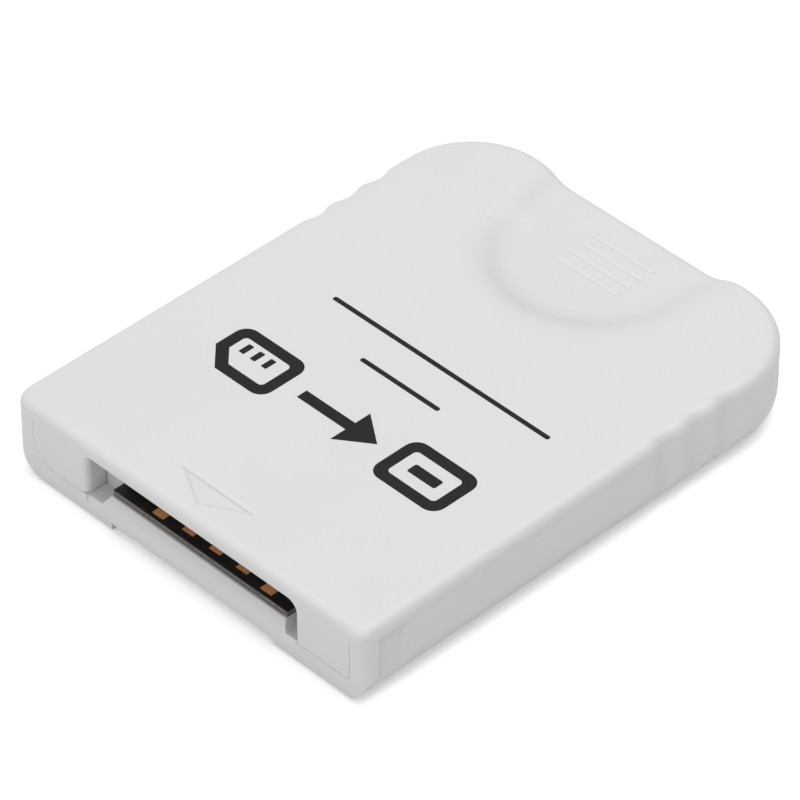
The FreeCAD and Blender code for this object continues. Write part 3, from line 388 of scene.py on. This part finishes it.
blackPlasticLook = {
    "color": (0.012, 0.012, 0.013, 1),
    "shade": (0.018, 0.018, 0.019, 1),
    "grainScale": 7000.0,
    "cloudScale": 200.0,
    "roughness": 0.5,
    "roughnessSpread": 0.2,
    "specks": {"Scale": 400.0, "Size": 0.03, "Amount": 0.2},
    "speckColor": (0.06, 0.06, 0.06, 1),
    "grainDepth": 0.4,
    "ior": 1.5,
    "edgeRadius": 0.00008,
}
resistorLook = dict(blackPlasticLook, specks={"Scale": 900.0, "Size": 0.1, "Amount": 0.3})
capacitorLook = dict(
    blackPlasticLook,
    color=(0.34, 0.23, 0.13, 1),
    shade=(0.28, 0.18, 0.1, 1),
    speckColor=(0.2, 0.12, 0.06, 1),
)
housingPlastic = plasticMaterial("housingPlastic", housingLook)
blackPlastic = plasticMaterial("blackPlastic", blackPlasticLook)
resistorBody = plasticMaterial("resistorBody", resistorLook)
capacitorBody = plasticMaterial("capacitorBody", capacitorLook)


boardLook = {
    "color": (0.005, 0.0042, 0.0038, 1),  # the dark lacquer on both faces
    "shade": (0.009, 0.0075, 0.0065, 1),
    "laminate": (0.135, 0.133, 0.118, 1),
    "fibre": (0.035, 0.033, 0.028, 1),
    "copperLine": (0.05, 0.028, 0.018, 1),
    "grainScale": 2600.0,
    "cloudScale": 420.0,
    "roughness": 0.34,
    "roughnessSpread": 0.2,
    "grainDepth": 0.3,
    "edgeFacing": (0.5, 0.4),  # how far up a face looks where the cut edge starts and is full
    "fibreNoise": {"Scale": 1.0, "Detail": 2.0},
    "fibreAlong": 8000.0,
    "fibreLean": 2500.0,
    "fibreUp": 1200.0,
    "fibreRange": (0.42, 0.6),
    "underside": 3.1,  # this and the rest are in millimetres
    "upperSide": 3.7,
    "lineWidth": 0.09,
    "fade": 0.03,
}


def boardMaterial(name, look):
    # lacquered faces, and cut edges with woven fibres between a copper line and a dark line
    material, tree, shader = newMaterial(name)
    surface = placeGrain(tree, look)
    coordinates = addNode(tree, "ShaderNodeTexCoord")
    facing = splitVector(tree, coordinates.outputs["Normal"])
    onEdge = mapRange(tree, mathNode(tree, "ABSOLUTE", facing["Z"]), *look["edgeFacing"])
    place = splitVector(tree, coordinates.outputs["Object"])
    along = mathNode(tree, "MULTIPLY", place["X"], look["fibreAlong"])
    lean = mathNode(tree, "MULTIPLY", place["Z"], look["fibreLean"])
    upward = mathNode(tree, "MULTIPLY", place["Z"], look["fibreUp"])
    fibres = addNode(tree, "ShaderNodeTexNoise", {"noise_dimensions": "2D"}, look["fibreNoise"])
    stretched = packVector(tree, (mathNode(tree, "ADD", along, lean), upward))
    join(tree, stretched, fibres.inputs["Vector"])
    weave = mapRange(tree, fibres.outputs["Fac"], *look["fibreRange"])
    laminate = mixColor(tree, weave, look["laminate"], look["fibre"])
    fade = look["fade"] * millimetre
    low = (look["underside"] + look["lineWidth"]) * millimetre
    high = (look["upperSide"] - look["lineWidth"]) * millimetre
    lowLine = mapRange(tree, place["Z"], low, low - fade)
    highLine = mapRange(tree, place["Z"], high, high + fade)
    edged = mixColor(tree, lowLine, laminate, look["copperLine"])
    edged = mixColor(tree, highLine, edged, look["shade"])
    finished = mixColor(tree, onEdge, surface.outputs["Color"], edged)
    join(tree, finished, shader.inputs["Base Color"])
    join(tree, surface.outputs["Roughness"], shader.inputs["Roughness"])
    grain = surface.outputs["Height"]
    addBump(tree, shader, grain, look["grainDepth"], bumpLook["grainHeight"])
    return material


boardLaminate = boardMaterial("boardLaminate", boardLook)


contactGoldLook = {
    "color": (0.82, 0.37, 0.115, 1),
    "wornColor": (0.62, 0.275, 0.12, 1),
    "lineScale": 9000.0,
    "stretch": 0.03,
    "smooth": 0.3,
    "rough": 0.5,
    "metallic": 0.3,
    "lineDepth": 0.25,
    "wornRange": (0.35, 0.7),
    "roughRange": (0.3, 0.7),
}
tinPlateLook = dict(
    contactGoldLook,
    color=(0.56, 0.56, 0.57, 1),
    wornColor=(0.43, 0.43, 0.44, 1),
    lineScale=3000.0,
    stretch=0.05,
    smooth=0.28,
    rough=0.46,
    metallic=1.0,
    lineDepth=0.2,
)


def platedMaterial(name, look):
    # the stronger a wipe line, the more worn and the rougher the plating is along it
    material, tree, shader = newMaterial(name)
    values = {"Line Scale": look["lineScale"], "Stretch": look["stretch"]}
    lines = placeGroup(tree, wipeLines, values).outputs["Lines"]
    worn = mapRange(tree, lines, *look["wornRange"])
    plated = mixColor(tree, worn, look["color"], look["wornColor"])
    join(tree, plated, shader.inputs["Base Color"])
    rough = mapRange(tree, lines, *look["roughRange"], look["smooth"], look["rough"])
    join(tree, rough, shader.inputs["Roughness"])
    shader.inputs["Metallic"].default_value = look["metallic"]
    addBump(tree, shader, lines, look["lineDepth"], bumpLook["lineHeight"])
    return material


contactGold = platedMaterial("contactGold", contactGoldLook)
tinPlate = platedMaterial("tinPlate", tinPlateLook)
print("materials made")


def dress(prefix, material):
    # a CAD node keeps its mesh and gets a finished material
    count = 0
    for name, piece in nodes.items():
        if not name.startswith(prefix):
            continue
        for entry in piece.material_slots:
            entry.material = material
        count += 1
    print("dressed", prefix, count)


for prefix, material in (
    ("upper_shell", housingPlastic),
    ("lower_shell", housingPlastic),
    ("circuit_board", boardLaminate),
    ("edge_contact", contactGold),
    ("card_socket_insulator", blackPlastic),
    ("card_socket_shield", tinPlate),
    ("card_contact", contactGold),
    ("card_detect_spring", tinPlate),
    ("write_protect_spring", tinPlate),
    ("chip_resistor", resistorBody),
    ("chip_capacitor", capacitorBody),
):
    dress(prefix, material)


# plain printed marks on the lid: a card outline, an arrow, a slot outline and two rules

printLook = {
    "ink": (0.005, 0.005, 0.0055, 1),
    "inkShade": (0.008, 0.008, 0.0085, 1),
    "inkRoughness": 0.7,
    "inkIor": 1.33,
    "inkCloudScale": 900.0,
    "thickness": 0.004,  # this and all the lengths below are in millimetres
    "middle": (0.4, -9.85),
    "stroke": 1.15,
    "cornerRadius": 1.3,
    "innerCornerRadius": 1.3 / 3,
    "cornerSteps": 6,
    "cutCorner": 2.2,
    "frameHalf": 2.9,
    "cardEnds": (-14.1, -6.3),
    "slotEnds": (6.3, 14.1),
    "arrowEnds": (-4.4, 4.6),
    "arrowHead": (3.2, 2.3),
    "padCount": 3,
    "padStart": -12.1,
    "padPitch": 1.35,
    "padSize": (0.62, 1.3),
    "padCornerRadius": 0.1,
    "barInset": 2.3,  # the short bar inside the slot outline
    "barCornerRadius": 0.2,
    "ruleHeight": 0.5,
    "ruleCornerShare": 0.98,  # of half the rule's height
    "rules": ((-3.8, 5.5, -3.2), (-11.2, 14.4, 0.75)),
}
inkMaterial = plasticMaterial(
    "printedInk",
    dict(
        blackPlasticLook,
        color=printLook["ink"],
        shade=printLook["inkShade"],
        roughness=printLook["inkRoughness"],
        ior=printLook["inkIor"],
        cloudScale=printLook["inkCloudScale"],
        edgeRadius=None,
    ),
)


def roundedLoop(low, high, radius, cutCorner=0.0):
    # a rounded rectangle's points, anticlockwise, with its first corner cut off straight if asked
    points = []
    corners = (
        (low[0], low[1], 1, 1),
        (high[0], low[1], -1, 1),
        (high[0], high[1], -1, -1),
        (low[0], high[1], 1, -1),
    )
    steps = printLook["cornerSteps"]
    for index, (x, y, inwardX, inwardY) in enumerate(corners):
        if cutCorner and index == 0:
            points += [(x, y + cutCorner), (x + cutCorner, y)]
            continue
        for step in range(steps + 1):
            angle = math.radians(180 + 90 * (index + step / steps))
            points.append((
                x + inwardX * radius + math.cos(angle) * radius,
                y + inwardY * radius + math.sin(angle) * radius,
            ))
    return points


def layLoop(mesh, points):
    return [mesh.verts.new((x * millimetre, y * millimetre, lidTop)) for x, y in points]


def addShape(mesh, points):
    mesh.faces.new(layLoop(mesh, points))


def addFrame(mesh, low, high, cutCorner=0.0):
    # a closed outline of even stroke, also along the straight cut
    stroke = printLook["stroke"]
    innerLow = (low[0] + stroke, low[1] + stroke)
    innerHigh = (high[0] - stroke, high[1] - stroke)
    innerRadius = printLook["innerCornerRadius"]
    innerCut = cutCorner - stroke * (2 - math.sqrt(2)) if cutCorner else 0.0
    outer = layLoop(mesh, roundedLoop(low, high, printLook["cornerRadius"], cutCorner))
    inner = layLoop(mesh, roundedLoop(innerLow, innerHigh, innerRadius, innerCut))
    for index in range(len(outer)):
        following = (index + 1) % len(outer)
        mesh.faces.new((outer[index], outer[following], inner[following], inner[index]))


def raiseFaces(mesh, thickness):
    grown = bmesh.ops.extrude_face_region(mesh, geom=list(mesh.faces))
    lifted = [item for item in grown["geom"] if isinstance(item, bmesh.types.BMVert)]
    bmesh.ops.translate(mesh, verts=lifted, vec=(0, 0, thickness))
    bmesh.ops.recalc_face_normals(mesh, faces=mesh.faces)


def finishPiece(name, mesh, material):
    data = bpy.data.meshes.new(name)
    mesh.to_mesh(data)
    mesh.free()
    piece = bpy.data.objects.new(name, data)
    bpy.context.scene.collection.objects.link(piece)
    data.materials.append(material)
    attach(piece, "root")


def printMarks():
    middleX, middleY = printLook["middle"]
    low = middleY - printLook["frameHalf"]
    high = middleY + printLook["frameHalf"]
    shaftHalf = printLook["stroke"] / 2
    mesh = bmesh.new()
    left, right = (middleX + end for end in printLook["cardEnds"])
    addFrame(mesh, (left, low), (right, high), printLook["cutCorner"])
    width, length = printLook["padSize"]
    for index in range(printLook["padCount"]):
        left = middleX + printLook["padStart"] + printLook["padPitch"] * index
        ends = ((left, middleY), (left + width, middleY + length))
        addShape(mesh, roundedLoop(*ends, printLook["padCornerRadius"]))
    tail, tip = printLook["arrowEnds"]
    headLength, headHalf = printLook["arrowHead"]
    neck = tip - headLength
    arrow = [
        (tail, -shaftHalf),
        (neck, -shaftHalf),
        (neck, -headHalf),
        (tip, 0.0),
        (neck, headHalf),
        (neck, shaftHalf),
        (tail, shaftHalf),
    ]
    addShape(mesh, [(middleX + x, middleY + y) for x, y in arrow])
    left, right = (middleX + end for end in printLook["slotEnds"])
    addFrame(mesh, (left, low), (right, high))
    inset = printLook["barInset"]
    ends = ((left + inset, middleY - shaftHalf), (right - inset, middleY + shaftHalf))
    addShape(mesh, roundedLoop(*ends, printLook["barCornerRadius"]))
    ruleHalf = printLook["ruleHeight"] / 2
    ruleRadius = ruleHalf * printLook["ruleCornerShare"]
    for left, right, y in printLook["rules"]:
        addShape(mesh, roundedLoop((left, y - ruleHalf), (right, y + ruleHalf), ruleRadius))
    raiseFaces(mesh, printLook["thickness"] * millimetre)
    finishPiece("printed_marks", mesh, inkMaterial)


printMarks()
print("printed marks made")


# floor, light and camera

stageLook = {
    "floorSize": 1.6,
    "floorColor": (0.8, 0.8, 0.8, 1),
    "floorRoughness": 0.9,
    "floorSpecular": 0.1,
    "floorGlow": 0.3,  # shown to the camera only
    "skyStrength": 0.865,
    "skyDim": 0.22,
    "dimSide": (0.3, 0.95, 0.0),  # the sky is dimmer on this side, which is behind the object
    "dimRange": (0.05, 1.0),
    "softboxes": {
        "keySoftbox": {"place": (0.03, 0.13, 0.55), "size": 0.5, "power": 2.12},
        "fillSoftbox": {"place": (0.1, -0.45, 0.3), "size": 0.4, "power": 0.35},
    },
}
floorMesh = bmesh.new()
bmesh.ops.create_grid(floorMesh, x_segments=1, y_segments=1, size=stageLook["floorSize"])
floorData = bpy.data.meshes.new("floor")
floorMesh.to_mesh(floorData)
floorMesh.free()
floor = bpy.data.objects.new("floor", floorData)
bpy.context.scene.collection.objects.link(floor)
floorMaterial, floorTree, floorShader = newMaterial("paleFloor")
for label, value in (
    ("Base Color", stageLook["floorColor"]),
    ("Roughness", stageLook["floorRoughness"]),
    ("Specular IOR Level", stageLook["floorSpecular"]),
    ("Emission Color", white),
):
    floorShader.inputs[label].default_value = value
seen = addNode(floorTree, "ShaderNodeLightPath").outputs["Is Camera Ray"]
glow = mathNode(floorTree, "MULTIPLY", seen, stageLook["floorGlow"])
join(floorTree, glow, floorShader.inputs["Emission Strength"])
floorData.materials.append(floorMaterial)

world = bpy.data.worlds.new("softSky")
world.use_nodes = True
skyTree = world.node_tree
sky = skyTree.nodes["Background"]
sky.inputs["Color"].default_value = white
towardsBack = addNode(skyTree, "ShaderNodeVectorMath", {"operation": "DOT_PRODUCT"})
towardsBack.inputs[1].default_value = stageLook["dimSide"]
direction = addNode(skyTree, "ShaderNodeTexCoord").outputs["Generated"]
join(skyTree, direction, towardsBack.inputs[0])
skyLevel = mapRange(
    skyTree,
    towardsBack.outputs["Value"],
    *stageLook["dimRange"],
    stageLook["skyStrength"],
    stageLook["skyDim"],
)
join(skyTree, skyLevel, sky.inputs["Strength"])
bpy.context.scene.world = world


def addSoftbox(name, look):
    light = bpy.data.lights.new(name, "AREA")
    light.shape = "DISK"
    light.size = look["size"]
    light.energy = look["power"]
    holder = bpy.data.objects.new(name, light)
    holder.location = look["place"]
    holder.rotation_mode = "QUATERNION"
    holder.rotation_quaternion = (-Vector(look["place"])).to_track_quat("-Z", "Y")
    bpy.context.scene.collection.objects.link(holder)


for name, look in stageLook["softboxes"].items():
    addSoftbox(name, look)

cameraLook = {
    "name": "photoCamera",
    "azimuth": 45.67,
    "elevation": 40.44,
    "distance": 0.49695,
    "target": (-0.00426, 0.0018, 0.0),
    "lens": 263.4,
    "sensorWidth": 36.0,
    "nearest": 0.01,
    "farthest": 10.0,
}
turn = math.radians(cameraLook["azimuth"])
rise = math.radians(cameraLook["elevation"])
back = Vector((math.sin(turn) * math.cos(rise), -math.cos(turn) * math.cos(rise), math.sin(rise)))
cameraData = bpy.data.cameras.new(cameraLook["name"])
cameraData.lens = cameraLook["lens"]
cameraData.sensor_width = cameraLook["sensorWidth"]
cameraData.clip_start = cameraLook["nearest"]
cameraData.clip_end = cameraLook["farthest"]
camera = bpy.data.objects.new(cameraLook["name"], cameraData)
camera.location = Vector(cameraLook["target"]) + back * cameraLook["distance"]
camera.rotation_mode = "QUATERNION"
camera.rotation_quaternion = (-back).to_track_quat("-Z", "Y")
bpy.context.scene.collection.objects.link(camera)
bpy.context.scene.camera = camera
bpy.context.scene.view_settings.view_transform = "Standard"
print("floor, light and camera placed")
